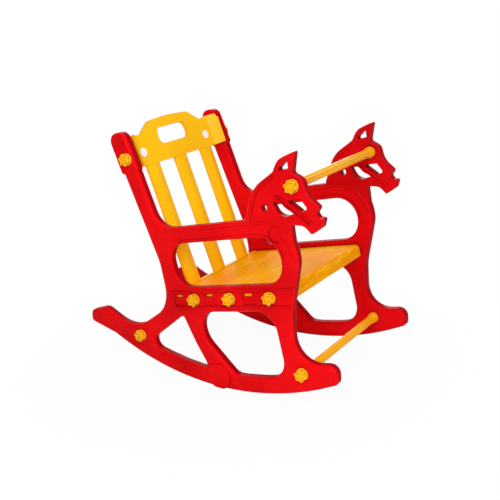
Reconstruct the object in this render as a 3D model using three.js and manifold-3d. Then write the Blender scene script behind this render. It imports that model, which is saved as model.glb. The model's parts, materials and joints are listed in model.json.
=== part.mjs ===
// Rocking horse chair: two moulded horse-shaped side panels joined by a seat tray, a slatted
// backrest and three cross bars. Hand-turned star knobs hold them on the right, low cap screws
// on the left.
// Everything is drawn upright with the seat level: +X is the way the horse faces, +Y its left,
// +Z up. x = 0, z = 0 is the lowest point of the rocker's circle. The last step tips the chair
// back to the angle it comes to rest at. Millimetres throughout.
import * as THREE from 'three';
import { mergeVertices } from 'three/addons/utils/BufferGeometryUtils.js';
import Module from 'manifold-3d';

const wasm = await Module();
wasm.setup();

// ---- driving dimensions ------------------------------------------------------------------
const WIDTH = 332;            // outer face to outer face of the two side panels
const PANEL = 22;             // thickness of a side panel's bands
const PANEL_ROUND = [5, 9];   // rounding of its rims: through its thickness, and across its face
const HEAD = 18;              // thickness of the thinner head and neck plate
const HEAD_ROUND = 2;
const FIT = 0.3;              // gap between neighbouring pieces, and around a shank
const SLOT_FIT = 0.8;         // gap around a tab in its window

const ROCKER_R = 640;         // radius of the rocker's running edge
const ROCKER_BAND = 36;       // depth of the rocker band
const TAIL_REACH = 456;       // from the rocker's lowest point back to the tail's tip
const REST_TILT = 10.8;       // degrees the chair leans back when it stands empty
const FACET = 1.6;            // degrees of rocker per flat

const SEAT_TOP = 222;         // height of the seat
const ARMREST_TOP = 364;
const ARMREST_DEPTH = 35;
const RAIL_RISE = 11;         // how far the rail beside the seat stands above it
const RAIL_DEPTH = 54.5;
const POST_TOP = 576;         // top of the back post
const RIB = 3;                // width of a raised line
const RIB_H = 1.8;            // its height above the panel
const RIB_ROOT = 3;           // how far it reaches into the panel
const CHANNEL = [11.5, 8];    // how far its two raised lines lie inside the rail's edges
const SLEEVE_H = 1.6;         // how far the sleeve at the top of the back post stands out
const SLEEVE_ROUND = 5;
const FOOT_PAD = [-98, 27.7]; // x and height over the running edge, round pad at the strut's foot
const FOOT_PAD_R = 29;
const FOOT_PAD_H = 3.6;
const FOOT_PAD_CLEAR = 1;     // least height of the pad over the running edge
const ELBOW = [125, 32, 16, 2];   // round recess in the armrest's bend: x, drop, radius, depth

const SEAT_DEEP = 26;         // height of the seat tray's skirt
const SEAT_WALL = 4;
const SEAT_FRONT = 117;
const SEAT_ROUND = 3;         // rounding of its two side edges
const TAB = [16, 4.6];        // width and height of the tabs that pass into the windows
const TAB_DROP = 6.8;         // their middle, below the seat's top
const TABS = [[-157, 4], [-74, 4], [28.5, 1.5]];  // x, and how far short of the face it stops
const POCKET = [29, 26, 1.6]; // width, height and depth of the recess around a window
const POCKET_RISE = 5;        // how far a recess reaches above the middle of its tab

const BACK_LEAN = 7.5;        // degrees the backrest leans from upright
const BACK_X = -205;          // where its front face is, BACK_DROP below the post's top
const BACK_DROP = 66;
const BACK_THICK = 12;
const SLAT = 41;              // width of a slat
const SLAT_OUT = [-8, -2.6, 3.4];  // back, front edges and crown of a slat, out from the plate's face
const SLAT_RAMP = 16;         // length over which a slat's crown rises from its ends
const SLAT_PITCH = 92;
const PLATE_FOOT = -16;       // lower edge of the top plate, measured up the backrest
const BACK_RAIL = 26;         // height of its bottom rail
const BACK_RAIL_RISE = 1.5;   // how far that rail stands above the seat
const PEG = [6, 12, 8];       // length, height and depth of the pegs at the foot of the backrest
const LUG_FRONT = 20;         // how far the plate's ends come forward
const DISC_INSET = [31.7, 41.2];  // from the plate's ends to the middles of the two discs
const DISC_R = 10;

const BAR = 16;               // cross bar, across its flats
const BAR_RIDGE = 1;          // height of the ridges along it
const COLLAR = [11.8, 9];     // radius and length of a bar's end collar
const FLARE = 13;             // length over which the bar widens into the collar

const KNOB_R = 13.2;          // over the points of the star
const KNOB_H = 13;
const FLANGE = [12.6, 3];     // radius and thickness of the flange behind the star
const DIMPLE = [6, 3];        // radius and depth of the hollow in a knob's face
const SHANK_R = 5;
const BOSS_WALL = 4.2;        // wall around a shank's socket under the seat
const SHANK_IN = 19;          // how far a shank reaches past the panel
const POST_SHANK_IN = 11;
const CAP = [13, 3.4];        // radius and height of a cap screw's head
const CAP_SLOT = [14, 2.4, 1.4];

const ROUND_ERROR = 0.22;     // largest gap between a curve and its flats

// ---- heights and places that follow ------------------------------------------------------
const RAIL_TOP = SEAT_TOP + RAIL_RISE;
const RAIL_UNDER = RAIL_TOP - RAIL_DEPTH;
const ARMREST_UNDER = ARMREST_TOP - ARMREST_DEPTH;
const TAB_Z = SEAT_TOP - TAB_DROP;
const BACK_REF = [BACK_X, POST_TOP - BACK_DROP];
const SPAN = WIDTH / 2 - PANEL - FIT;   // half the width between the panels, less the gap

// Height of a point of the panel, `up` above the rocker's running edge at x.
const onRocker = (x, up = 0) => ROCKER_R - Math.sqrt(ROCKER_R ** 2 - x ** 2) + up;

// x and z of each knob, named after what it holds.
const KNOB_DROP = 13.3;       // of the three on the rail, below the seat's top
const TAIL_KNOB_X = 159 - TAIL_REACH;
const KNOBS = {
  post: [-203, POST_TOP - 57],
  rail_rear: [-112.5, SEAT_TOP - KNOB_DROP],
  rail_mid: [-18.5, SEAT_TOP - KNOB_DROP],
  rail_front: [81.5, SEAT_TOP - KNOB_DROP],
  tail: [TAIL_KNOB_X, onRocker(TAIL_KNOB_X, ROCKER_BAND + 18.2)],
  toe: [118, onRocker(118, ROCKER_BAND + 3.5)],
  head: [186.5, ARMREST_TOP + 56],
};

const RED = { color: 0xd40d12, roughness: 0.3, metalness: 0 };
const YELLOW = { color: 0xf7b512, roughness: 0.35, metalness: 0 };
const WHITE = { color: 0xf2f0ec, roughness: 0.5, metalness: 0 };

// ---- drawing helpers ---------------------------------------------------------------------
const rad = THREE.MathUtils.degToRad;

function arcSteps(radius, angle) {
  return Math.max(2, Math.ceil(Math.abs(angle) / (2 * Math.acos(1 - ROUND_ERROR / radius))));
}

// The directions from a corner to its neighbours, the outline's turn there, and the length of
// edge that its fillet takes.
function cornerOf(corners, i) {
  const [x, z, r = 0] = corners[i];
  const here = new THREE.Vector2(x, z);
  const [x0, z0] = corners.at(i - 1);
  const [x1, z1] = corners[(i + 1) % corners.length];
  const from = new THREE.Vector2(x0, z0).sub(here);
  const to = new THREE.Vector2(x1, z1).sub(here);
  const length = to.length();
  const a = from.normalize();
  const b = to.normalize();
  const turn = Math.PI - Math.acos(THREE.MathUtils.clamp(a.dot(b), -1, 1));
  return { here, a, b, turn, length, takes: r * Math.tan(turn / 2) };
}

// A closed outline from corners [x, z, radius]; the radius may be left out for a sharp one. Two
// fillets that would meet on a short edge share it.
function rounded(corners) {
  const all = corners.map((_, i) => cornerOf(corners, i));
  const share = all.map(({ takes, length }, i) => (
    Math.min(1, length / (takes + all[(i + 1) % all.length].takes + 1e-9))));
  const points = [];
  corners.forEach(([, , radius = 0], i) => {
    const { here, a, b, turn } = all[i];
    const r = radius * Math.min(share[i], share.at(i - 1));
    if (r === 0 || turn < 0.02) {
      points.push(here);
      return;
    }
    const centre = a.clone().add(b).normalize().multiplyScalar(r / Math.cos(turn / 2)).add(here);
    const start = a.clone().multiplyScalar(r * Math.tan(turn / 2)).add(here).sub(centre);
    const side = Math.sign(a.cross(b)) || 1;
    const n = arcSteps(r, turn);
    for (let k = 0; k <= n; k += 1) {
      const spoke = start.clone().rotateAround(new THREE.Vector2(), (-side * turn * k) / n);
      points.push(spoke.add(centre));
    }
  });
  return points;
}

// Points of a rocker circle of the given radius from x0 to x1, about (0, ROCKER_R). A flat is
// centred on the line that touches the floor at rest.
function rockerArc(radius, x0, x1) {
  const [low, high] = [Math.asin(Math.min(x0, x1) / radius), Math.asin(Math.max(x0, x1) / radius)];
  const step = rad(radius === ROCKER_R ? FACET : 3 * FACET);
  const first = Math.ceil((low + rad(REST_TILT)) / step - 0.5);
  const angles = [low];
  for (let k = first; (k + 0.5) * step - rad(REST_TILT) < high; k += 1) {
    const angle = (k + 0.5) * step - rad(REST_TILT);
    if (angle > low + step / 4 && angle < high - step / 4) angles.push(angle);
  }
  angles.push(high);
  if (x1 < x0) angles.reverse();
  return angles.map((a) => [radius * Math.sin(a), ROCKER_R - radius * Math.cos(a)]);
}

function circle(x, z, radius) {
  const n = 2 * arcSteps(radius, Math.PI);
  return Array.from({ length: n }, (_, k) => new THREE.Vector2(
    x + radius * Math.cos((2 * Math.PI * k) / n), z + radius * Math.sin((2 * Math.PI * k) / n)));
}

// ---- solids ------------------------------------------------------------------------------
function solid(geometry) {
  const bare = geometry.clone();
  bare.deleteAttribute('normal');
  bare.deleteAttribute('uv');
  const merged = mergeVertices(bare, 1e-4);
  return new wasm.Manifold(new wasm.Mesh({
    numProp: 3,
    vertProperties: new Float32Array(merged.attributes.position.array),
    triVerts: new Uint32Array(merged.index.array),
  }));
}

const fuse = (...solids) => solids.reduce((a, b) => a.add(b));
const cut = (body, ...tools) => tools.reduce((a, b) => a.subtract(b), body);

// three.js wants an outline to run anticlockwise before it will sort out the holes.
function shapeOf(outline, holes) {
  const shape = new THREE.Shape(
    THREE.ShapeUtils.isClockWise(outline) ? [...outline].reverse() : outline);
  shape.holes = holes.map((hole) => new THREE.Path(hole));
  return shape;
}

// An outline in x and z made into a plate between y0 and y1. Its two rims are rounded, over
// `edge` of its thickness and over `inset` of its face.
function plate(outline, y0, y1, { holes = [], edge = 0, inset = edge, segments = 2 } = {}) {
  const geometry = new THREE.ExtrudeGeometry(shapeOf(outline, holes), {
    depth: Math.abs(y1 - y0) - 2 * edge,
    bevelEnabled: edge > 0,
    bevelThickness: edge,
    bevelSize: inset,
    bevelOffset: -inset,
    bevelSegments: segments,
    curveSegments: 1,
  });
  geometry.rotateX(Math.PI / 2);
  geometry.translate(0, Math.max(y0, y1) - edge, 0);
  return solid(geometry);
}

// A round rod along Y.
function rod(x, z, radius, y0, y1) {
  return plate(circle(x, z, radius), y0, y1);
}

function block(x0, x1, y0, y1, z0, z1) {
  const geometry = new THREE.BoxGeometry(x1 - x0, Math.abs(y1 - y0), z1 - z0);
  geometry.translate((x0 + x1) / 2, (y0 + y1) / 2, (z0 + z1) / 2);
  return solid(geometry);
}

// A raised line of width RIB that follows a path in x and z.
function rib(path, y0, y1) {
  const points = path.map(([x, z]) => new THREE.Vector2(x, z));
  const side = (sign) => points.map((p, i) => {
    const before = points[Math.max(i - 1, 0)];
    const after = points[Math.min(i + 1, points.length - 1)];
    const along = after.clone().sub(before).normalize();
    return new THREE.Vector2(-along.y, along.x).multiplyScalar((sign * RIB) / 2).add(p);
  });
  return plate([...side(1), ...side(-1).reverse()], y0, y1);
}

function mesh(name, body, look, flip = false) {
  const { vertProperties, triVerts } = body.getMesh();
  const geometry = new THREE.BufferGeometry();
  geometry.setAttribute('position', new THREE.BufferAttribute(new Float32Array(vertProperties), 3));
  geometry.setIndex(new THREE.BufferAttribute(new Uint32Array(triVerts), 1));
  if (flip) {
    const { position } = geometry.attributes;
    for (let i = 0; i < position.count; i += 1) position.setY(i, -position.getY(i));
    const index = geometry.index.array;
    for (let i = 0; i < index.length; i += 3) [index[i], index[i + 1]] = [index[i + 1], index[i]];
  }
  const flat = geometry.toNonIndexed();
  flat.computeVertexNormals();
  const made = new THREE.Mesh(flat, new THREE.MeshStandardMaterial(look));
  made.name = name;
  return made;
}

// ---- side panel --------------------------------------------------------------------------
const OUT = -WIDTH / 2;            // outer face of the right-hand panel
const IN = OUT + PANEL;            // its inner face
const HEAD_OUT = OUT + (PANEL - HEAD) / 2;
const BAND_R = ROCKER_R - ROCKER_BAND;

// Smallest fillets of a corner that stands out, so that the rounded rims don't cross there.
const KEEN = PANEL_ROUND[1] + 0.5;
const HEAD_KEEN = HEAD_ROUND + 0.4;

// Tail, back post, armrest, front leg, toe and the rocker's running edge.
function frameOutline() {
  const [tailBend, toeBend] = [71 - TAIL_REACH, 176];   // where the running edge leaves its circle
  const valley = 135 - TAIL_REACH;
  const tail = onRocker(tailBend);
  const toe = onRocker(toeBend);
  return rounded([
    [-TAIL_REACH, tail + 32.2, KEEN], [10 - TAIL_REACH, tail + 58, 11],
    [59 - TAIL_REACH, tail + 64.5, 20], [valley, onRocker(valley, 51), 88],
    [-194.5, 193, 74], [-190, 292, 80],
    [-238.5, POST_TOP - 14, KEEN], [-198.3, POST_TOP - 14, KEEN],       // inside the sleeve
    [-168, ARMREST_TOP, 44], [161, ARMREST_TOP, 72], [162, ARMREST_TOP - 89, 55],
    [122, 177, 120], [112, 122, 50], [114, toe + 43.6, 46], [197.5, toe + 43.6, 19],
    [191, toe + 3.3, 13],
    ...rockerArc(ROCKER_R, toeBend, tailBend),
  ]);
}

const armrestGap = () => rounded([
  [-154, RAIL_TOP, 41], [-156, ARMREST_UNDER, 42], [126, ARMREST_UNDER, 46],
  [121, RAIL_TOP, 48],
]);

const frontGap = () => rounded([
  [-114, RAIL_UNDER, 41], [76.5, RAIL_UNDER, 42], [76.5, onRocker(76.5, ROCKER_BAND), 42],
  ...rockerArc(BAND_R, 32, -32), [-56, onRocker(-56, ROCKER_BAND + 1), 22], [-114.5, 119, 50],
]);

function rearGap() {
  const end = 167.5 - TAIL_REACH;
  return rounded([
    [-160.5, RAIL_UNDER - 5, 8], [-144, 111, 200],
    [-122.5, onRocker(-122.5, ROCKER_BAND + 4.5), 11],
    ...rockerArc(BAND_R, -139, end + 38.5), [end, onRocker(end, ROCKER_BAND + 3), 18],
  ]);
}

// The head's points are measured up from the armrest's top.
const above = (points) => points.map(([x, up, ...r]) => [x, ARMREST_TOP + up, ...r]);

function headOutline() {
  return rounded(above([
    [137, -76], [127, -42], [104, -23], [62, -16],                      // inside the band
    [62.5, 5, 8], [95.5, 61.5, 70], [147, 85.5, 8],                     // mane
    [163, 107, 34], [203, 117, HEAD_KEEN], [188, 78, 6],                // ear
    [207, 65, 16], [209, 35, 40], [230, 10, 4],                         // forehead and nose
    [220.5, 0, 4], [225, -8.5, HEAD_KEEN], [236, -10.5, HEAD_KEEN + 1], [228, -26, 4],  // mouth
    [203, -38, 4], [191, -20.5, 20], [162, -16, 6],                     // chin and throat
    [159, -54], [148, -104],
  ]));
}

const headHoles = () => [
  [[157, 86.5, 2], [184, 105.5, 2.4], [182.5, 87, 2]],                  // in the ear
  [[165, 29.5, 2], [194.5, 29.5, 2.4], [206, 10, 4], [191, 5, 4]],      // eye
  [[131, 28, 3], [150, 28.5, 2], [159, 14, 30], [179, 4, 2],            // behind the cheek
    [156, -0.5, 16], [139, 5, 20]],
  [[92, 16, 5], [117.5, 13.5, 5], [117.5, 30, 4]],                      // on the neck
].map((hole) => rounded(above(hole)));

// The raised lines of the armrest and the head are on both faces, those of the rail outside only.
function panelRibs() {
  const under = -ARMREST_DEPTH;
  const armrest = [
    [[-150, -6], [154, -6, 68], [154, -74]],
    [[-120, under + 6], [131, under + 6, 50], [131, under - 45]],
  ].map((path) => rounded(above(path)).map((p) => [p.x, p.y]));
  const rail = [
    [[-179, RAIL_UNDER + CHANNEL[0]], [122, RAIL_UNDER + CHANNEL[0]]],
    [[-179, RAIL_TOP - CHANNEL[1]], [137, RAIL_TOP - CHANNEL[1]]],
  ];
  const onHead = [
    [[148, 40], [168, 22], [192, -0.5], [210, -17]],                      // bridle
    [[141, 40], [162, 20], [186, -3], [203, -19]],
    [[73, 2], [102, 57, 66], [146, 77]],                                  // along the mane
  ].map((path) => rounded(above(path)).map((p) => [p.x, p.y]));
  const outside = (paths, face) => paths.map((path) => rib(path, face - RIB_H, face + RIB_ROOT));
  const inside = (paths, face) => paths.map((path) => rib(path, face - RIB_ROOT, face + RIB_H));
  return fuse(
    ...outside([...rail, ...armrest], OUT), ...outside(onHead, HEAD_OUT),
    ...inside(armrest, IN), ...inside(onHead, HEAD_OUT + HEAD),
  );
}

function postSleeve() {
  const up = (points) => points.map(([x, drop, ...r]) => [x, POST_TOP - drop, ...r]);
  const keen = SLEEVE_ROUND + 0.5;
  const sleeve = rounded(up([[-230.3, 88, keen], [-244, 0, 19], [-199.5, 0, 19],
    [-184.3, 86, keen]]));
  const seam = rib(up([[-231.5, 28.5], [-221, 27], [-210, 24.5], [-202, 23]]),
    OUT - SLEEVE_H - RIB_H, OUT);
  return fuse(plate(sleeve, OUT - SLEEVE_H, IN, { edge: SLEEVE_ROUND, segments: 3 }), seam);
}

function sidePanel() {
  const frame = plate(frameOutline(), OUT, IN, {
    holes: [armrestGap(), frontGap(), rearGap()],
    edge: PANEL_ROUND[0], inset: PANEL_ROUND[1], segments: 3,
  });
  const head = plate(headOutline(), HEAD_OUT, HEAD_OUT + HEAD, {
    holes: headHoles(), edge: HEAD_ROUND, segments: 1,
  });
  const shankHoles = Object.values(KNOBS).map(([x, z]) => (
    rod(x, z, SHANK_R + FIT, OUT - 10, IN + 1)));
  const windows = TABS.map(([x]) => block(
    x - TAB[0] / 2 - SLOT_FIT, x + TAB[0] / 2 + SLOT_FIT, OUT - 1, IN + 1,
    TAB_Z - TAB[1] / 2 - SLOT_FIT, TAB_Z + TAB[1] / 2 + SLOT_FIT));
  const [elbowX, elbowDrop, elbowR, elbowDepth] = ELBOW;
  const elbow = rod(elbowX, ARMREST_TOP - elbowDrop, elbowR, OUT - 5, OUT + elbowDepth);
  const pockets = TABS.map(([x]) => block(x - POCKET[0] / 2, x + POCKET[0] / 2, OUT - 1,
    OUT + POCKET[2], TAB_Z + POCKET_RISE - POCKET[1], TAB_Z + POCKET_RISE));
  const footPad = plate(circle(FOOT_PAD[0], onRocker(...FOOT_PAD), FOOT_PAD_R), OUT - FOOT_PAD_H,
    OUT + 6, { edge: FOOT_PAD_H / 2, segments: 2 }).intersect(
    rod(0, ROCKER_R, ROCKER_R - FOOT_PAD_CLEAR, OUT - FOOT_PAD_H - 1, IN));
  const body = fuse(frame, head, panelRibs(), postSleeve(), footPad);
  return cut(body, elbow, backPeg(-1, SLOT_FIT), ...shankHoles, ...windows, ...pockets);
}

// ---- seat --------------------------------------------------------------------------------
// x of the backrest's front face at a given height.
const backFront = (z) => BACK_REF[0] + (BACK_REF[1] - z) * Math.tan(rad(BACK_LEAN));

function seatTab([x, short], sign) {
  return block(x - TAB[0] / 2, x + TAB[0] / 2, sign * (SPAN - 5), sign * (WIDTH / 2 - short),
    TAB_Z - TAB[1] / 2, TAB_Z + TAB[1] / 2);
}

function seatTray() {
  const foot = SEAT_TOP - SEAT_DEEP;
  const [rearFoot, rearTop] = [backFront(foot) + 2 * FIT, backFront(SEAT_TOP) + 2 * FIT];
  const shell = plate(rounded([
    [rearFoot, foot], [rearTop, SEAT_TOP, 3.5], [SEAT_FRONT, SEAT_TOP, 9], [SEAT_FRONT, foot],
  ]), -SPAN, SPAN, { edge: SEAT_ROUND });
  const under = SEAT_TOP - SEAT_WALL;
  const hollow = block(rearFoot + SEAT_WALL, SEAT_FRONT - SEAT_WALL, -SPAN + SEAT_WALL,
    SPAN - SEAT_WALL, foot - 1, under);
  const ribs = [-64, 33].map((x) => block(x - 1.5, x + 1.5, -SPAN + 2, SPAN - 2, foot + 6,
    under + 1));
  const spine = block(rearFoot + 2, SEAT_FRONT - 2, -1.5, 1.5, foot + 6, under + 1);
  const knobs = ['rail_rear', 'rail_mid', 'rail_front'].map((name) => KNOBS[name]);
  const sides = [-1, 1];
  const bosses = sides.flatMap((s) => knobs.map(([x, z]) => (
    rod(x, z, SHANK_R + FIT + BOSS_WALL, s * (SPAN - 1), s * (SPAN - SHANK_IN - 5)))));
  const sockets = sides.flatMap((s) => knobs.map(([x, z]) => (
    rod(x, z, SHANK_R + FIT, s * (SPAN + 1), s * (SPAN - SHANK_IN - 1)))));
  const tabs = sides.flatMap((s) => TABS.map((tab) => seatTab(tab, s)));
  return cut(fuse(cut(shell, hollow), ...ribs, spine, ...bosses, ...tabs), ...sockets);
}

// ---- backrest ----------------------------------------------------------------------------
// Drawn flat: first number across, second up the backrest, third out of its front face.
const ACROSS = new THREE.Vector3(0, 1, 0);
const UP = new THREE.Vector3(-Math.sin(rad(BACK_LEAN)), 0, Math.cos(rad(BACK_LEAN)));
const FORWARD = new THREE.Vector3(Math.cos(rad(BACK_LEAN)), 0, Math.sin(rad(BACK_LEAN)));

function leanBack(geometry, x, y, z) {
  const place = new THREE.Matrix4().makeBasis(x, y, z).setPosition(BACK_REF[0], 0, BACK_REF[1]);
  return solid(geometry.applyMatrix4(place));
}

function backSheet(outline, back, front, holes = [], edge = 0) {
  const geometry = new THREE.ExtrudeGeometry(shapeOf(outline, holes), {
    depth: front - back - 2 * edge, bevelEnabled: edge > 0, bevelThickness: edge,
    bevelSize: edge, bevelOffset: -edge, bevelSegments: 1, curveSegments: 1,
  });
  geometry.translate(0, 0, back + edge);
  return leanBack(geometry, ACROSS, UP, FORWARD);
}

// Plan of the top plate: flat in the middle, its ends brought forward to meet the posts.
function platePlan() {
  const half = [[SPAN, -BACK_THICK], [SPAN, LUG_FRONT], [SPAN - 5.7, LUG_FRONT - 3, 8],
    [SPAN - 18.7, 0, 4]];
  const mirror = half.map(([a, out, r]) => [-a, out, r]).reverse();
  const geometry = new THREE.ExtrudeGeometry(shapeOf(rounded([...half, ...mirror]), []), {
    depth: 120, bevelEnabled: false, curveSegments: 1,
  });
  geometry.translate(0, 0, -100);
  return leanBack(geometry, ACROSS, FORWARD, UP.clone().negate());
}

// Top of the bottom rail, measured up the backrest.
const backRailTop = () => (
  (SEAT_TOP + BACK_RAIL_RISE - BACK_REF[1]) / Math.cos(rad(BACK_LEAN)));

// The peg at an end of the bottom rail, or with `gap` the pocket it sits in.
function backPeg(sign, gap = 0) {
  const [length, high, deep] = PEG;
  const middle = backRailTop() - BACK_RAIL / 2;
  const [a0, a1] = [sign * (SPAN - 2), sign * (SPAN + length + gap)];
  const [s0, s1] = [middle - high / 2 - gap, middle + high / 2 + gap];
  return backSheet([[a0, s0], [a1, s0], [a1, s1], [a0, s1]].map((p) => new THREE.Vector2(...p)),
    -BACK_THICK / 2 - deep / 2 - gap, -BACK_THICK / 2 + deep / 2 + gap);
}

// A slat is crowned along its middle. The crown dies away where the slat meets the plate above
// and the rail below.
function slat(middle) {
  const [back, edge, crown] = SLAT_OUT;
  const [a0, a1] = [middle - SLAT / 2, middle + SLAT / 2];
  const [foot, head] = [backRailTop() - BACK_RAIL + 6, PLATE_FOOT + 8];
  const section = rounded([[a0, back, 1], [a1, back, 1], [a1, edge, 2], [middle, crown, 14],
    [a0, edge, 2]]);
  const length = new THREE.ExtrudeGeometry(shapeOf(section, []), {
    depth: head - foot, bevelEnabled: false, curveSegments: 1,
  });
  length.translate(0, 0, -head);
  const side = rounded([[foot, back - 1], [head, back - 1], [head, -1.2], [PLATE_FOOT, -0.6],
    [PLATE_FOOT - SLAT_RAMP, crown, 12], [backRailTop() + SLAT_RAMP, crown, 12],
    [backRailTop(), -0.6], [foot, -1.2]]);
  const ramps = new THREE.ExtrudeGeometry(shapeOf(side, []), {
    depth: SLAT, bevelEnabled: false, curveSegments: 1,
  });
  ramps.translate(0, 0, a0);
  return leanBack(length, ACROSS, FORWARD, UP.clone().negate())
    .intersect(leanBack(ramps, UP, FORWARD, ACROSS));
}

function backrest() {
  const half = [[SPAN, PLATE_FOOT, 2], [SPAN, 45, 3], [SPAN - 2.7, 45.5, 1],
    [SPAN - 4.7, 53.5, 4], [SPAN - 21.7, 54.5, 5], [SPAN - 27.7, 51.5, 4],
    [SPAN - 44.7, 51.5, 14], [63, 76, 14]];
  const mirror = half.map(([a, s, r]) => [-a, s, r]).reverse();
  const handle = rounded([[-52, 20, 14], [-49, 56.5, 13], [49, 56.5, 13], [52, 20, 14]]);
  const outline = rounded([...half, [0, 79.5, 300], ...mirror]);
  const top = backSheet(outline, -BACK_THICK, LUG_FRONT, [handle]).intersect(platePlan());
  const railTop = backRailTop();
  const railFoot = railTop - BACK_RAIL;
  const slats = [-1, 0, 1].map((k) => slat(k * SLAT_PITCH));
  const rail = backSheet(rounded([[-SPAN, railFoot], [-SPAN, railTop, 2],
    [SPAN, railTop, 2], [SPAN, railFoot]]), -BACK_THICK, 0, [], 1.5);
  const [kx, kz] = KNOBS.post;
  const sides = [-1, 1];
  const sockets = sides.map((s) => (
    rod(kx, kz, SHANK_R + FIT, s * (SPAN + 1), s * (SPAN - POST_SHANK_IN - 1))));
  return cut(fuse(top, ...slats, rail, ...sides.map((s) => backPeg(s))), ...sockets);
}

// A plain round disc on the plate, in place of a label.
function labelDisc(across) {
  return backSheet(circle(across, 13, DISC_R), FIT, FIT + 0.8);
}

// ---- cross bars --------------------------------------------------------------------------
// A ridged bar between the panels. Each end widens into a round collar with a screw socket.
function crossBar([x, z], reach) {
  const outline = Array.from({ length: 32 }, (_, k) => {
    const r = BAR / 2 + (k % 4 === 0 ? BAR_RIDGE : 0);
    const turn = (2 * Math.PI * k) / 32;
    return new THREE.Vector2(x + r * Math.cos(turn), z + r * Math.sin(turn));
  });
  const core = plate(outline, -reach + 1, reach - 1);
  const profile = [[0, 0], [COLLAR[0] - 1.2, 0], [COLLAR[0], 1.2], [COLLAR[0], COLLAR[1]],
    [BAR / 2, COLLAR[1] + FLARE], [0, COLLAR[1] + FLARE]].map((p) => new THREE.Vector2(...p));
  const ends = [-1, 1].map((side) => {
    const turned = new THREE.LatheGeometry(profile, 2 * arcSteps(COLLAR[0], Math.PI));
    if (side > 0) turned.rotateX(Math.PI);
    turned.translate(x, side * reach, z);
    return solid(turned);
  });
  const sockets = [-1, 1].map((side) => (
    rod(x, z, SHANK_R + FIT, side * (reach + 1), side * (reach - SHANK_IN - 1))));
  return cut(fuse(core, ...ends), ...sockets);
}

// ---- fasteners ---------------------------------------------------------------------------
// y of the panel face a fastener bears on, and of the end of its shank.
function fastenerSpan(name) {
  if (name === 'head') return [HEAD_OUT, HEAD_OUT + HEAD + SHANK_IN];
  if (name === 'post') return [OUT - SLEEVE_H, IN + POST_SHANK_IN];
  return [OUT, IN + SHANK_IN];
}

// A six-pointed grip on a round flange, moulded in one with its shank.
function starKnob([x, z], face, tip) {
  const star = rounded(Array.from({ length: 12 }, (_, k) => {
    const r = k % 2 ? KNOB_R * 0.8 : KNOB_R * 1.06;
    const turn = (Math.PI * k) / 6;
    return [x + r * Math.cos(turn), z + r * Math.sin(turn), k % 2 ? 3 : 2.2];
  }));
  const back = face - FIT;
  const flange = plate(circle(x, z, FLANGE[0]), back - FLANGE[1], back);
  const grip = plate(star, back - KNOB_H, back - FLANGE[1] + 0.5, { edge: 1.6, segments: 1 });
  const dimple = rod(x, z, DIMPLE[0], back - KNOB_H - 1, back - KNOB_H + DIMPLE[1]);
  return fuse(cut(fuse(flange, grip), dimple), rod(x, z, SHANK_R, back - 1, tip));
}

// A low round head with a straight slot, and its shank.
function capScrew([x, z], face, tip) {
  const back = face - FIT;
  const head = plate(circle(x, z, CAP[0]), back - CAP[1], back, { edge: 1.4, segments: 1 });
  const [long, wide, deep] = CAP_SLOT;
  const slot = block(x - long / 2, x + long / 2, back - CAP[1] - 1, back - CAP[1] + deep,
    z - wide / 2, z + wide / 2);
  return fuse(cut(head, slot), rod(x, z, SHANK_R, back - 1, tip));
}

// ---- assembly ----------------------------------------------------------------------------
function assemble() {
  const chair = new THREE.Group();
  const panel = sidePanel();
  chair.add(mesh('side_panel_right', panel, RED));
  chair.add(mesh('side_panel_left', panel, RED, true));
  chair.add(mesh('seat', seatTray(), YELLOW));
  chair.add(mesh('backrest', backrest(), YELLOW));
  chair.add(mesh('label_disc_right', labelDisc(DISC_INSET[0] - SPAN), WHITE));
  chair.add(mesh('label_disc_left', labelDisc(SPAN - DISC_INSET[1]), WHITE));
  const headReach = -(HEAD_OUT + HEAD) - FIT;
  chair.add(mesh('handle_bar', crossBar(KNOBS.head, headReach), YELLOW));
  chair.add(mesh('foot_bar', crossBar(KNOBS.toe, SPAN), YELLOW));
  chair.add(mesh('rear_bar', crossBar(KNOBS.tail, SPAN), YELLOW));
  for (const [name, place] of Object.entries(KNOBS)) {
    const span = fastenerSpan(name);
    chair.add(mesh(`knob_${name}`, starKnob(place, ...span), YELLOW));
    chair.add(mesh(`cap_${name}`, capScrew(place, ...span), YELLOW, true));
  }
  chair.rotation.y = -rad(REST_TILT);
  const root = new THREE.Group();
  root.add(chair);
  root.updateMatrixWorld(true);
  const box = new THREE.Box3().setFromObject(root, true);
  const centre = box.getCenter(new THREE.Vector3());
  chair.position.set(-centre.x, -centre.y, -box.min.z);
  return root;
}

export default assemble();
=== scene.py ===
# %% [markdown]
# # A rocking horse chair in red and yellow plastic
# The frame that loads first is the engineering model: every piece at its real size and place,
# in metres. This lesson dresses it. Each piece gets the softened edges, the moulded detail and
# the finish that the real plastic has, and nothing is moved, because the joints depend on it.

# %% load the frame
import json
import math

import bmesh
import bpy
from mathutils import Matrix, Vector


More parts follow.
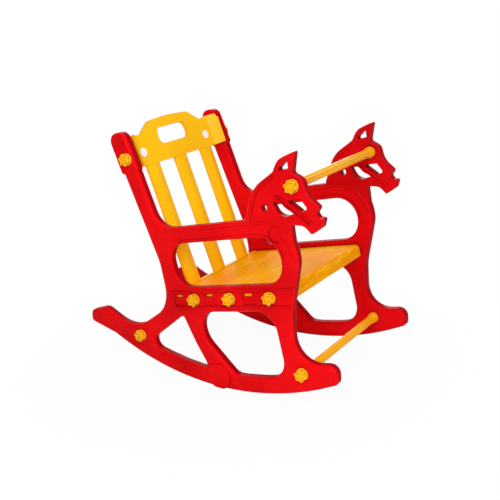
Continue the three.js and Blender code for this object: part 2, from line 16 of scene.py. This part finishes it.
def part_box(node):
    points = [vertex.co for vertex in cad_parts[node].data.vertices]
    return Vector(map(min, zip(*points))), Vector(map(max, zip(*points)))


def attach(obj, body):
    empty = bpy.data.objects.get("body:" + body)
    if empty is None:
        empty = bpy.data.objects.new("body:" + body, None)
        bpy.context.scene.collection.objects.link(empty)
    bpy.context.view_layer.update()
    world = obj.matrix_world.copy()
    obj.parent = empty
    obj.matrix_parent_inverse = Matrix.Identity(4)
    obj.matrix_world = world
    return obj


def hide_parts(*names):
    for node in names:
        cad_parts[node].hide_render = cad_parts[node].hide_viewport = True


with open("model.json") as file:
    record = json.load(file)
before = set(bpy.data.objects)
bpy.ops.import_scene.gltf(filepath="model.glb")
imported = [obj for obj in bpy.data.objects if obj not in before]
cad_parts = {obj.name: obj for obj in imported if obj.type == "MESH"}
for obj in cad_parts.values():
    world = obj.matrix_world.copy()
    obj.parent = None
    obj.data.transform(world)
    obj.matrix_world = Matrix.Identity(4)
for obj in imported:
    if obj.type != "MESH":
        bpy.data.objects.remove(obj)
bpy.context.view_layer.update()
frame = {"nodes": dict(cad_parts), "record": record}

MM = 0.001

# %% [markdown]
# ## Where things are
# The chair leans back at rest, so its seat is not level. Drawing on a tilted object is easier in
# a frame of its own: the record gives a point and a direction on the seat and on the back plate,
# and a matrix made from each turns "along, across, out" into places in the room. The other way
# would be to turn every piece by hand, and then each one carries the angle separately.

# %% frames of the seat and the backrest
MOUNTS = {mount["name"]: mount for mount in frame["record"]["mounts"]}


def face_frame(name):
    """Matrix whose Z stands out of a flat face, with Y across the chair."""
    mount = MOUNTS[name]
    out = Vector(mount["axis"]).normalized()
    across = Vector((0, 1, 0))
    along = across.cross(out)
    turn = Matrix((along, across, out)).transposed().to_4x4()
    return Matrix.Translation(mount["pos_m"]) @ turn


SEAT = face_frame("seat_top")
BACK = face_frame("back_plate")
TILT = math.atan2(-SEAT.col[2].x, SEAT.col[2].z)
CENTRE = SEAT.translation.y       # the plane that the chair is symmetrical about
PANEL = 22 * MM                   # thickness of a side panel
PANEL_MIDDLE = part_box("side_panel_left")[0].y + PANEL / 2 - CENTRE
print(f"the chair leans back {math.degrees(TILT):.1f} degrees")

# %% [markdown]
# ## Colours and plastic
# The real chair is blow-moulded and injection-moulded polyethylene, coloured all the way
# through. Such plastic is never one flat colour: the pigment is a little uneven, the skin has a
# fine orange-peel texture from the mould, handling leaves faint scuffs, and dust dulls it in
# patches. One function builds all of that from noise in Object coordinates, so that the pattern
# stays on the piece. An image texture would need unwrapping and would not scale.

# %% nodes and colours
def add_node(tree, kind, inputs=None, **settings):
    """A shader node with its settings, and its inputs set to values or linked to sockets."""
    node = tree.nodes.new(kind)
    for name, value in settings.items():
        setattr(node, name, value)
    for name, value in (inputs or {}).items():
        if isinstance(value, bpy.types.NodeSocket):
            tree.links.new(value, node.inputs[name])
        else:
            node.inputs[name].default_value = value
    return node


def linear(colour):
    """An sRGB colour, 0 to 255, as the linear numbers that a shader takes."""
    def channel(c):
        c /= 255
        return c / 12.92 if c <= 0.04045 else ((c + 0.055) / 1.055) ** 2.4
    return (*[channel(c) for c in colour], 1)


# %% [markdown]
# Nearly every detail of a finish is made of the same few steps: a noise, a range of it stretched
# into a factor, and a mix of two colours by that factor. Each step gets a short function, and
# then a finish reads as a list of what happens to its colour.

# %% the steps of a finish
def noise(tree, place, scale, detail, **inputs):
    """A noise with about this many lumps in a metre, as a number around 0.5."""
    node = add_node(tree, "ShaderNodeTexNoise", {
        "Vector": place, "Scale": scale, "Detail": detail, **inputs})
    return node.outputs["Fac"]


def stretched(tree, place, scale, turn=(0, 0, 0)):
    """The place turned, then scaled by an amount of its own in each direction."""
    node = add_node(tree, "ShaderNodeMapping", {
        "Vector": place, "Rotation": turn, "Scale": scale})
    return node.outputs["Vector"]


def spread(tree, value, span, to=(0, 1), **settings):
    """The value with one span stretched over another, and held at the ends beyond it."""
    node = add_node(tree, "ShaderNodeMapRange", {
        "Value": value, "From Min": span[0], "From Max": span[1],
        "To Min": to[0], "To Max": to[1]}, **settings)
    return node.outputs["Result"]


def calculated(tree, operation, *values):
    """The result of one step of arithmetic."""
    node = add_node(tree, "ShaderNodeMath", dict(enumerate(values)), operation=operation)
    return node.outputs["Value"]


def mixed(tree, factor, first, second):
    """A colour that goes from first to second as factor goes from 0 to 1."""
    mix = add_node(tree, "ShaderNodeMix", {"Factor": factor, "A": first, "B": second},
                   data_type="RGBA")
    return mix.outputs["Result"]


# %% [markdown]
# The pigment comes first. Its clouds are hand-sized. Two kinds of painted shade darken it: the
# middle of a panel's rim, painted darker to stand for the shade on a rounded rim that turns away
# from the light, and every tight corner, painted with the shade that falls where no light gets
# in. The rim's dark line is found from how far a point lies from the panel's middle plane. The
# corners are found with an Ambient Occlusion node that looks only a few millimetres far.
# Painting them by hand would look the same from here, but would not follow the shape. Turned and
# lobed pieces also get a painted highlight on their edges, and there the Geometry node's
# Pointiness finds the edges.

# %% pigment, rims, crevices and edges
CLOUDS = 6                               # clouds of pigment in a metre
CLOUD_SPAN = (0.25, 0.6)                 # noise that gives the deep shade, and the main one
RIM_SPAN = (0.1 * PANEL, 0.44 * PANEL)   # how far off the middle plane the rim's painted shade fades
OPEN_SPAN = (0.3, 0.92)                  # openness where the painted corner shade is full, and where it is gone
BEND_SPAN = (0.52, 0.6)                  # pointiness of a flat surface, and of an edge with the full painted highlight
EDGE_HIGHLIGHT = 0.7                          # how much of the pale shade the painted edge highlight reaches


def pigment(tree, place, main, deep):
    """Hand-sized clouds between two close shades."""
    clouds = noise(tree, place, CLOUDS, detail=4)
    return mixed(tree, spread(tree, clouds, CLOUD_SPAN), linear(deep), linear(main))


# Painted shade: a side panel's rim is coloured darker, standing in for the shade on a rounded
# rim.
def painted_rim_shade(tree, place, colour, rim):
    """The colour, turning to the rim's painted shade towards the middle plane of either side
    panel.
    """
    distance = add_node(tree, "ShaderNodeSeparateXYZ", {"Vector": place}).outputs["Y"]
    for middle in (CENTRE, PANEL_MIDDLE):
        distance = calculated(tree, "ABSOLUTE", calculated(tree, "SUBTRACT", distance, middle))
    factor = spread(tree, distance, RIM_SPAN, (1, 0), interpolation_type="SMOOTHSTEP")
    return mixed(tree, factor, colour, linear(rim))


# Painted shade: tight corners are coloured darker where an Ambient Occlusion node finds them
# enclosed.
def painted_crevice_shade(tree, colour, crevice_shade, reach, strength):
    """The colour, turning to the crevice's painted shade within reach of a tight corner."""
    openness = add_node(tree, "ShaderNodeAmbientOcclusion", {"Distance": reach}, samples=8)
    factor = spread(tree, openness.outputs["AO"], OPEN_SPAN, (strength, 0))
    return mixed(tree, factor, colour, linear(crevice_shade))


# Painted highlight: outward edges are coloured paler, standing in for light caught along them.
def painted_edge_highlight(tree, colour, pale):
    """The colour, turning to the pale one on outward edges as a painted highlight."""
    bend = add_node(tree, "ShaderNodeNewGeometry").outputs["Pointiness"]
    return mixed(tree, spread(tree, bend, BEND_SPAN, (0, EDGE_HIGHLIGHT)), colour, linear(pale))


# %% [markdown]
# A wide flat moulding such as the seat also shows flow marks: ripples, paler and deeper, where
# the streams of hot plastic met across it. They are a noise stretched five times across the
# chair, with some distortion so that the lines bend and fork. A Wave texture would repeat.

# %% flow marks
FLOW_SCALE = (42, 8, 40)     # ripples in a metre, along the chair, across it and up
FLOW_BENDS = 2.2             # how much the noise is distorted
PALE_SPAN = (0.52, 0.68)     # noise at which the pale marks start, and are full
DEEP_SPAN = (0.46, 0.3)      # the same for the deep ones, downwards


def flow_marks(tree, place, colour, pale, deep, strength):
    """The colour with long ripples across the chair, pale on one side and deep on the other."""
    ripples = noise(tree, stretched(tree, place, FLOW_SCALE), 1, detail=3, Roughness=0.5,
                    Distortion=FLOW_BENDS)
    for span, shade in ((PALE_SPAN, pale), (DEEP_SPAN, deep)):
        colour = mixed(tree, spread(tree, ripples, span, (0, strength)), colour, linear(shade))
    return colour


# %% [markdown]
# Wear and texture lie on top. Scuffs are long thin marks, made by stretching a noise along one
# direction with a Mapping node. They change the roughness most and the colour a little, as
# real ones do: scratched plastic looks paler because its surface scatters light. The orange
# peel is under a millimetre and the wall's slow swell is a few centimetres, so they are two
# Bump nodes in a row.

# %% scuffs, gloss and skin
SCUFF_TURN = (0.3, 0.5, 0.2)       # so that the scuffs run at a slant to every piece
SCUFF_SCALE = (12, 12, 260)        # squeezed one way until the noise's lumps are lines
SCUFF_SPAN = (0.6, 0.85)           # noise at which a scuff starts, and is full
SCUFF_DEPTH = 0.12                 # what a full scuff adds to the roughness and the paleness
PATCHES = 28                       # dull patches in a metre
PATCH_SPAN = (0.3, 0.75)           # noise of the glossiest place, and of the dullest
GLOSSY, DULL = -0.06, 0.1          # what these two add to the roughness
PEEL_LUMPS, PEEL_HEIGHT = 650, 0.6 * MM
SWELL_LUMPS, SWELL_HEIGHT = 34, 2 * MM
SWELL = 0.1                        # strength of the swell
BENDING = 1.5                      # how strongly plastic bends light, its index of refraction


def scuffs(tree, place):
    """How scuffed each place is, in long thin marks."""
    lines = noise(tree, stretched(tree, place, SCUFF_SCALE, SCUFF_TURN), 2, detail=3,
                  Roughness=0.6)
    return spread(tree, lines, SCUFF_SPAN, (0, SCUFF_DEPTH))


def uneven_gloss(tree, place, roughness, scuffed):
    """The roughness, higher in patches and along the scuffs."""
    patches = noise(tree, place, PATCHES, detail=5, Roughness=0.6)
    dulled = spread(tree, patches, PATCH_SPAN, (roughness + GLOSSY, roughness + DULL))
    return calculated(tree, "ADD", dulled, scuffed)


def moulded_skin(tree, place, peel):
    """The normal of a skin with orange peel of a given strength on a slow swell."""
    fine = add_node(tree, "ShaderNodeBump", {
        "Height": noise(tree, place, PEEL_LUMPS, detail=2), "Strength": peel,
        "Distance": PEEL_HEIGHT})
    slow = add_node(tree, "ShaderNodeBump", {
        "Height": noise(tree, place, SWELL_LUMPS, detail=1), "Strength": SWELL,
        "Distance": SWELL_HEIGHT, "Normal": fine.outputs["Normal"]})
    return slow.outputs["Normal"]


# %% [markdown]
# One function puts the steps in order. Its colours are the pigment's two shades, the pale shade
# of wear and of the painted edge highlight, the painted shade in a crevice and, for the side
# panels, the painted shade of the rim.

# %% moulded plastic
def plastic(name, main, deep, pale, crevice_shade, rim=None, roughness=0.3, peel=0.06, shine=0.1,
            reach=5 * MM, crevice_shade_strength=0.7, edge_highlight=False, flow=0):
    """Glossy moulded plastic: pigment, painted shade on rims and in crevices, painted edge
    highlights, scuffs and orange peel.
    """
    material = bpy.data.materials.new(name)
    material.use_nodes = True
    tree = material.node_tree
    place = add_node(tree, "ShaderNodeTexCoord").outputs["Object"]
    colour = pigment(tree, place, main, deep)
    # painted shade on the side panels' rims
    if rim:
        colour = painted_rim_shade(tree, place, colour, rim)
    # a painted highlight along the outward edges
    if edge_highlight:
        colour = painted_edge_highlight(tree, colour, pale)
    if flow:
        colour = flow_marks(tree, place, colour, pale, deep, flow)
    # painted shade in the crevices
    colour = painted_crevice_shade(tree, colour, crevice_shade, reach, crevice_shade_strength)
    scuffed = scuffs(tree, place)
    colour = mixed(tree, scuffed, colour, linear(pale))
    inputs = tree.nodes["Principled BSDF"].inputs
    tree.links.new(colour, inputs["Base Color"])
    tree.links.new(uneven_gloss(tree, place, roughness, scuffed), inputs["Roughness"])
    tree.links.new(moulded_skin(tree, place, peel), inputs["Normal"])
    inputs["IOR"].default_value = BENDING
    inputs["Specular IOR Level"].default_value = shine
    return material


# %% the finishes
# In these finishes the crevice colours and their strengths give painted shade in tight corners,
# the rim colour gives painted shade on the panels' rims, and the edge setting gives a painted
# highlight on the knobs and bars.
RED = plastic("moulded_red", (242, 14, 20), (202, 8, 14), (248, 60, 62), crevice_shade=(96, 0, 4),
              rim=(168, 6, 18), shine=0.02, reach=9 * MM, crevice_shade_strength=0.75)
YELLOW = plastic("moulded_yellow", (255, 196, 12), (253, 186, 8), (255, 218, 96),
                 crevice_shade=(196, 96, 0), roughness=0.32)
SEAT_YELLOW = plastic("seat_yellow", (255, 190, 6), (247, 140, 0), (255, 224, 60),
                      crevice_shade=(190, 84, 0), peel=0.1, shine=0.01, roughness=0.4, flow=0.42)
KNOB_YELLOW = plastic("knob_yellow", (255, 196, 14), (248, 172, 6), (255, 226, 90),
                      crevice_shade=(160, 72, 0), roughness=0.28, reach=4 * MM, crevice_shade_strength=0.85, edge_highlight=True)
BAR_YELLOW = plastic("bar_yellow", (253, 178, 8), (242, 152, 0), (255, 216, 90),
                     crevice_shade=(150, 58, 0), crevice_shade_strength=0.9, edge_highlight=True)
WHITE = plastic("plain_white_film", (248, 247, 244), (240, 238, 235), (252, 252, 250),
                crevice_shade=(190, 186, 178), roughness=0.5, peel=0.03)
print("finishes:", [m.name for m in bpy.data.materials])

# %% [markdown]
# ## From a bare node to a finished piece
# The frame's meshes are loose triangles, which nothing can bevel. So a copy is welded, its
# flat regions are joined back into single faces, and then a Bevel modifier rounds what is
# still a knife edge, because moulds never leave one and it is the small highlights along the
# edges that tell the eye how big a thing is. Weighted normals keep the flats flat.

# %% welded copies and finishing
WELD = 0.01 * MM              # points nearer than this are one point
FLAT = math.radians(0.6)      # faces that meet at less than this are one face
SHARP = math.radians(38)      # the shading runs smoothly over edges below this angle
EDGE_STEPS = 2                # faces across a broken edge
BIG_FACES_WIN = 100           # 50 weighs all faces alike, 100 leaves it to the large ones


def welded(node):
    """A bmesh copy of a node of the frame, welded, with its flat regions joined."""
    bm = bmesh.new()
    bm.from_mesh(frame["nodes"][node].data)
    bmesh.ops.remove_doubles(bm, verts=bm.verts, dist=WELD)
    bmesh.ops.dissolve_limit(bm, angle_limit=FLAT, verts=bm.verts, edges=bm.edges,
                             use_dissolve_boundaries=False)
    return bm


def finish(name, bm, material, body, node, edge, sharp_from=50):
    """Makes the bmesh a piece of the chair, smooth, with edges keener than an angle broken."""
    mesh = bpy.data.meshes.new(name)
    bm.to_mesh(mesh)
    bm.free()
    mesh.materials.append(material)
    mesh.shade_smooth()
    mesh.set_sharp_from_angle(angle=SHARP)
    piece = bpy.data.objects.new(name, mesh)
    bpy.context.scene.collection.objects.link(piece)
    if edge:
        bevel = piece.modifiers.new("broken edges", "BEVEL")
        bevel.width = edge
        bevel.segments = EDGE_STEPS
        bevel.limit_method = "ANGLE"
        bevel.angle_limit = math.radians(sharp_from)
    flats = piece.modifiers.new("flats stay flat", "WEIGHTED_NORMAL")
    flats.keep_sharp = True
    flats.weight = BIG_FACES_WIN
    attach(piece, body)
    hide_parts(node)
    print(f"{name}: {len(mesh.polygons)} faces")


# %% [markdown]
# ## Side panels
# Each panel is one blow-moulded board shaped as a horse: head, leg, armrest, back post and
# rocker. Its outline is the object's likeness, and the frame already has it to the millimetre,
# rounded rims and raised lines included, so this piece is the welded copy without a bevel.
# Cutting a new board from curves would only risk the fit of the windows and the knob holes.

# %% side panels
for side in ("right", "left"):
    node = f"side_panel_{side}"
    finish(f"horse_panel_{side}", welded(node), RED, "chair", node, edge=0)

# %% [markdown]
# ## Rings into a turned shape
# Knobs, bars and discs are all round things that change along an axis. A Spin would make a
# plain turned shape, but most of these have lobes or ridges round them. So each grows ring by
# ring: the last ring is extruded where it stands, and the new one is moved to its own height and
# pushed in and out round its edge. Both ends are closed with a face. Bridging finished rings
# looks simpler, but the bridge twists where two rings lie at one height.

# %% lobed rings
KEENNESS = 0.7     # below 1 the lobes come to a point, at 1 they are round waves
ROUND = 96         # points round a knob or a bar
SIMPLE_ROUND = 64  # points round a disc or the floor


def set_ring(verts, ring, lobes, phase):
    """Moves a ring's points to a height and to a radius that drops by depth between lobes."""
    height, radius, depth = ring
    for vert in verts:
        around = math.atan2(vert.co.y, vert.co.x)
        valley = 0.5 - 0.5 * math.cos(lobes * (around + phase))
        reach = radius * (1 - depth * valley ** KEENNESS)
        vert.co = (reach * math.cos(around), reach * math.sin(around), height)


def ringed(rings, lobes=0, phase=0.0, segments=ROUND):
    """A closed bmesh through rings of (height, radius, depth), first and last capped."""
    bm = bmesh.new()
    bmesh.ops.create_circle(bm, cap_ends=True, segments=segments, radius=1)
    set_ring(bm.verts, rings[0], lobes, phase)
    edges = bm.edges[:]
    for ring in rings[1:]:
        grown = bmesh.ops.extrude_edge_only(bm, edges=edges)["geom"]
        set_ring([g for g in grown if isinstance(g, bmesh.types.BMVert)], ring, lobes, phase)
        edges = [g for g in grown if isinstance(g, bmesh.types.BMEdge)]
    bmesh.ops.holes_fill(bm, edges=edges, sides=0)
    bmesh.ops.recalc_face_normals(bm, faces=bm.faces)
    return bm


def lay_across(bm, x, y, z):
    """Lays a bmesh that is drawn along +Z across the chair, running along -Y from a place."""
    place = Matrix.Translation((x, y, z)) @ Matrix.Rotation(math.pi / 2, 4, "X")
    bmesh.ops.transform(bm, matrix=place, verts=bm.verts)


# %% [markdown]
# ## Star knobs
# Seven hand-turned knobs hold the right-hand panel. Each is a six-pointed grip with a hollow of
# the same shape in its face, on a round flange, moulded in one with its shank. The rings run
# up the shank, out under the flange, up the grip's wall, over its rim and down into the hollow.

# %% the shape of a star knob
POINTS = 6
KNOB_R = 13.2 * MM       # over the points of the star
KNOB_H = 13 * MM         # flange and grip together
FLANGE_R = 12.6 * MM
FLANGE_H = 3 * MM
SHANK_R = 5 * MM
RIM = 2.2 * MM           # width of the star's rim
HOLLOW = 3.4 * MM        # depth of its hollow
VALLEY = 0.27            # how far in the star's valleys are, as a share of its radius
SOFT = 0.5 * MM          # rounding of a knob's edges


def star_knob(length):
    """A knob whose axis is +Z, its flange resting on z = 0 and its shank below."""
    inner = KNOB_R - RIM
    bottom = KNOB_H - HOLLOW
    shank = [(-length, SHANK_R - SOFT, 0), (SOFT - length, SHANK_R, 0), (0, SHANK_R, 0)]
    flange = [(0, FLANGE_R - SOFT, 0), (SOFT, FLANGE_R, 0), (FLANGE_H - SOFT, FLANGE_R, 0),
              (FLANGE_H, FLANGE_R - SOFT, 0)]
    wall = [(FLANGE_H, 0.87 * KNOB_R, 0.6 * VALLEY), (FLANGE_H + SOFT, 0.92 * KNOB_R, VALLEY),
            (0.45 * KNOB_H, 0.96 * KNOB_R, VALLEY), (0.8 * KNOB_H, 0.99 * KNOB_R, VALLEY)]
    rim = [(KNOB_H - 1.4 * SOFT, KNOB_R, VALLEY),
           (KNOB_H - 0.5 * SOFT, KNOB_R - 0.4 * SOFT, VALLEY), (KNOB_H, KNOB_R - SOFT, VALLEY),
           (KNOB_H, inner + 0.8 * SOFT, VALLEY), (KNOB_H - 0.6 * SOFT, inner, VALLEY)]
    hollow = [(bottom + SOFT, inner - 1 * MM, VALLEY), (bottom, inner - 2 * MM, 0.9 * VALLEY),
              (bottom, 0.3 * inner, 0.4 * VALLEY), (bottom + 0.6 * MM, 0.24 * inner, 0),
              (bottom + 0.8 * MM, 0.12 * inner, 0)]
    return ringed(shank + flange + wall + rim + hollow, lobes=POINTS, phase=TILT)


# %% place the knobs
KNOBS = [n[len("knob_"):] for n in frame["nodes"] if n.startswith("knob_")]

for name in KNOBS:
    node = f"knob_{name}"
    low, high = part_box(node)
    middle = (low + high) / 2
    bearing = low.y + KNOB_H      # where the flange rests on the panel
    knob = star_knob(high.y - bearing)
    lay_across(knob, middle.x, bearing, middle.z)
    finish(f"star_knob_{name}", knob, KNOB_YELLOW, f"{name}_knob", node,
           edge=0)

# %% [markdown]
# ## Cap screws
# On the left the same holes take low round caps with a straight slot for a coin. They are small
# and the frame has their slot, so the welded copies only need their edges broken.

# %% cap screws
for name in KNOBS:
    node = f"cap_{name}"
    finish(f"cap_screw_{name}", welded(node), KNOB_YELLOW, "chair", node,
           edge=0.3 * MM)

# %% [markdown]
# ## Cross bars
# Handle, foot rest and rear stretcher are the same moulding in three places: a ridged bar that
# flares into a round collar at each end. Rings again, this time with eight ridges in place of
# lobes, fading out as the bar widens.

# %% cross bars
RIDGES = 8
BAR_R = 9 * MM           # over the ridges
RIDGE = 0.17             # how far in the grooves between the ridges are
COLLAR_R = 11.8 * MM
COLLAR_L = 9 * MM
FLARE = 13 * MM          # length over which the bar widens into the collar


def cross_bar(length):
    """A bar along +Z from 0 to length."""
    collar = [(0, COLLAR_R - 1.6 * MM, 0), (0.5 * MM, COLLAR_R - 0.6 * MM, 0),
              (1.6 * MM, COLLAR_R, 0), (COLLAR_L - 1 * MM, COLLAR_R, 0)]
    flare = [(COLLAR_L + 1.5 * MM, COLLAR_R - 0.5 * MM, 0.01),
             (COLLAR_L + 0.35 * FLARE, COLLAR_R - 1.7 * MM, 0.03),
             (COLLAR_L + 0.7 * FLARE, BAR_R + 0.8 * MM, 0.07),
             (COLLAR_L + FLARE, BAR_R + 0.1 * MM, RIDGE),
             (COLLAR_L + 1.3 * FLARE, BAR_R, RIDGE)]
    end = collar + flare
    other_end = [(length - height, radius, depth) for height, radius, depth in reversed(end)]
    return ringed(end + other_end, lobes=RIDGES, phase=TILT)


for name in ("handle_bar", "foot_bar", "rear_bar"):
    low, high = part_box(name)
    middle = (low + high) / 2
    bar = cross_bar(high.y - low.y)
    lay_across(bar, middle.x, high.y, middle.z)
    finish(f"ridged_{name}", bar, BAR_YELLOW, "chair", name, edge=0)

# %% [markdown]
# ## Seat
# The seat is a shallow tray with its open side down. A big flat moulding always sinks a little
# as it cools. The welded copy is cut by planes into a grid over its top, and then the top's
# points are let down by a smooth amount. A flat top with a painted shadow would give itself
# away in every reflection.

# %% helpers for shaping a face
def cut_planes(bm, face, axis, offsets):
    """Cuts the mesh by planes at the given offsets along an axis of a face's frame."""
    normal = face.col[axis].xyz
    for offset in offsets:
        bmesh.ops.bisect_plane(bm, geom=bm.verts[:] + bm.edges[:] + bm.faces[:], dist=WELD,
                               plane_co=face.translation + offset * normal, plane_no=normal)


def shape_face(bm, face, near, height_at):
    """Moves the points near a face's plane in or out, by height_at(along, across)."""
    inverse = face.inverted()
    moved = 0
    for vert in bm.verts:
        along, across, out = inverse @ vert.co
        if abs(out) < near:
            shift = height_at(along, across)
            vert.co += shift * face.col[2].xyz
            moved += shift != 0
    return moved


def fade(value, low, high):
    """0 below low, 1 above high, and a smooth step between."""
    t = min(1, max(0, (value - low) / (high - low)))
    return t * t * (3 - 2 * t)


# %% the seat
ON_TOP = 0.2 * MM        # points this near to the seat's plane are on its top
GRID = 6 * MM            # between the cuts across the top
DISH = 2.2 * MM          # how far the middle of the seat has sunk
LEVEL = 4 * MM           # the border that hasn't sunk at all
SLOPE_SIDES = 60 * MM    # how far in the dish is full, from the sides
SLOPE_ENDS = 50 * MM     # and from the front and the rear

seat = welded("seat")
corners = [SEAT.inverted() @ vert.co for vert in seat.verts]
top = [corner for corner in corners if abs(corner.z) < ON_TOP]
REAR, FRONT = min(c.x for c in top), max(c.x for c in top)
HALF = max(c.y for c in top)
rows, columns = int((FRONT - REAR) / GRID), int(HALF / GRID)
cut_planes(seat, SEAT, 0, [REAR + GRID * k for k in range(1, rows)])
cut_planes(seat, SEAT, 1, [GRID * k for k in range(-columns, columns + 1)])


def seat_height(along, across):
    """How far the seat's top lies above its flat: a shallow dish."""
    sides = fade(HALF - abs(across), LEVEL, SLOPE_SIDES)
    ends = fade(along - REAR, LEVEL, SLOPE_ENDS) * fade(FRONT - along, LEVEL, SLOPE_ENDS)
    return -DISH * sides * ends


print("seat points moved:", shape_face(seat, SEAT, ON_TOP, seat_height))
finish("seat_tray", seat, SEAT_YELLOW, "chair", "seat", edge=0.8 * MM)

# %% [markdown]
# ## Backrest
# The backrest is one moulding: a top plate with a hand slot, three slats and a bottom rail. The
# slats are crowned, each with a soft ridge down its middle that dies away into the plate and the
# rail, so that its two halves catch different light. The frame has all of that, so a welded copy
# with broken edges is the piece.

# %% the backrest
finish("slatted_backrest", welded("backrest"), YELLOW, "chair", "backrest",
       edge=0.8 * MM, sharp_from=32)

# %% [markdown]
# ## Discs
# Two thin round discs sit on the top plate, plain white. Each is two rings and a broken edge,
# turned to the plate's face, with its size and place read from the frame. The frame's own disc
# has few corners, which show on something so plain.

# %% discs
DISC_EDGE = 0.2 * MM


def extent(values):
    """The middle and half the length of the range that the values take."""
    return (min(values) + max(values)) / 2, (max(values) - min(values)) / 2


for side in ("right", "left"):
    node = f"label_disc_{side}"
    points = [BACK.inverted() @ vert.co for vert in frame["nodes"][node].data.vertices]
    (along, _), (across, radius), (height, half) = map(extent, zip(*points))
    disc = ringed([(-half, radius, 0), (half - DISC_EDGE, radius, 0),
                   (half, radius - DISC_EDGE, 0)], segments=SIMPLE_ROUND)
    bmesh.ops.transform(disc, matrix=BACK @ Matrix.Translation((along, across, height)),
                        verts=disc.verts)
    finish(f"white_disc_{side}", disc, WHITE, "chair", node, edge=0)

# %% [markdown]
# ## Floor, light and camera
# A pale floor that runs off in every direction, with nothing else in the room. To the camera it
# is nearly white of itself, and the rest of its brightness is real light falling on it, so the
# chair's soft shadow stays. Simply turning up the lamps would bleach the plastic as well.

# %% floor
FLOOR_R = 30                     # metres, so that its edge is never in view
FLOOR_GREY = (0.88, 0.88, 0.88, 1)
FLOOR_ROUGHNESS = 0.9
FLOOR_SHINE = 0.1
SHADOW_SPAN = (0.3, 0.7)         # metres from the chair's middle over which the shadow fades
GLOW_SHARE = (0.95, 1)           # how much of the floor is its own white, near and far


def shows_background(tree):
    """1 for the camera's rays and for rays that mirror or pass through, otherwise 0."""
    rays = add_node(tree, "ShaderNodeLightPath").outputs
    direct = calculated(tree, "MAXIMUM", rays["Is Camera Ray"], rays["Is Glossy Ray"])
    return calculated(tree, "MAXIMUM", direct, rays["Is Transmission Ray"])


def pale_floor():
    """A wide plane, pale to the camera and to reflections, that still takes a shadow."""
    bm = bmesh.new()
    bmesh.ops.create_circle(bm, cap_ends=True, segments=SIMPLE_ROUND, radius=FLOOR_R)
    mesh = bpy.data.meshes.new("floor")
    bm.to_mesh(mesh)
    bm.free()
    floor = bpy.data.objects.new("floor", mesh)
    bpy.context.scene.collection.objects.link(floor)
    material = bpy.data.materials.new("pale_floor")
    material.use_nodes = True
    tree = material.node_tree
    shader = tree.nodes["Principled BSDF"]
    shader.inputs["Base Color"].default_value = FLOOR_GREY
    shader.inputs["Roughness"].default_value = FLOOR_ROUGHNESS
    shader.inputs["Specular IOR Level"].default_value = FLOOR_SHINE
    glow = add_node(tree, "ShaderNodeEmission", {"Color": (1, 1, 1, 1), "Strength": 1})
    place = add_node(tree, "ShaderNodeTexCoord").outputs["Object"]
    distance = add_node(tree, "ShaderNodeVectorMath", {0: place}, operation="LENGTH")
    share = spread(tree, distance.outputs["Value"], SHADOW_SPAN, GLOW_SHARE,
                   interpolation_type="SMOOTHSTEP")
    factor = calculated(tree, "MULTIPLY", shows_background(tree), share)
    mix = add_node(tree, "ShaderNodeMixShader", {
        "Fac": factor, 1: shader.outputs["BSDF"], 2: glow.outputs["Emission"]})
    tree.links.new(mix.outputs["Shader"], tree.nodes["Material Output"].inputs["Surface"])
    mesh.materials.append(material)


pale_floor()
print(f"the floor reaches {FLOOR_R} m")

# %% [markdown]
# The room's even light comes from the world. One soft lamp stands near the camera and makes what
# it sees bright. It is close, so that the nearer panel is lit more than the farther one. Wider
# lamps from the front, from above and from behind on the far side keep the backrest, the seat
# and the back of the chair from going flat or dark.

# %% world and lamps
ROOM_LIGHT = 0.29
AIM = (0, 0, 0.27)
LAMPS = {    # where it stands in metres, its power in watts and the width of its square
    "key": ((0.75, -1.2, 1.05), 14, 0.8),
    "front": ((2.4, -0.5, 1.6), 8, 1.4),
    "top": ((0.3, 0.1, 2.6), 17, 1.5),
    "fill": ((-1.3, 2.2, 1.4), 27, 1.4),
}


def room_light(level):
    """Even light of the given level, white where it is seen directly or in a reflection."""
    world = bpy.data.worlds.new("studio")
    bpy.context.scene.world = world
    world.use_nodes = True
    tree = world.node_tree
    background = tree.nodes["Background"]
    background.inputs["Color"].default_value = (1, 1, 1, 1)
    strength = spread(tree, shows_background(tree), (0, 1), (level, 1))
    tree.links.new(strength, background.inputs["Strength"])


def lamp(name, place, power, width):
    """A square soft lamp at place that looks at the chair."""
    light = bpy.data.lights.new(name, "AREA")
    light.energy = power
    light.size = width
    made = bpy.data.objects.new(name, light)
    turn = (Vector(AIM) - Vector(place)).to_track_quat("-Z", "Y")
    made.matrix_world = Matrix.Translation(place) @ turn.to_matrix().to_4x4()
    bpy.context.scene.collection.objects.link(made)


room_light(ROOM_LIGHT)
for name, settings in LAMPS.items():
    lamp(name, *settings)
print("lamps:", list(LAMPS))

# %% [markdown]
# The camera stands to the chair's right and ahead of it, a little above the seat, and leans
# very slightly. Its place is given from the seat, so that it follows the frame.

# %% camera
CAMERA_FROM_SEAT = (0.90554, -1.3161, 0.56784)
CAMERA_RIGHT = (0.81897, 0.56987, -0.06733)
CAMERA_UP = (-0.12662, 0.29391, 0.94741)
CAMERA_BACK = (0.55969, -0.76737, 0.31286)
LENS = 55.99              # millimetres, on a sensor 36 mm wide


def chair_camera():
    """The camera, from its three directions and its place."""
    data = bpy.data.cameras.new("camera")
    data.sensor_width = 36
    data.lens = LENS
    camera = bpy.data.objects.new("camera", data)
    turn = Matrix((CAMERA_RIGHT, CAMERA_UP, CAMERA_BACK)).transposed().to_4x4()
    place = SEAT.translation + Vector(CAMERA_FROM_SEAT)
    camera.matrix_world = Matrix.Translation(place) @ turn
    bpy.context.scene.collection.objects.link(camera)
    bpy.context.scene.camera = camera
    print("camera at", [round(value, 3) for value in place])


chair_camera()
bpy.context.scene.view_settings.view_transform = "Standard"
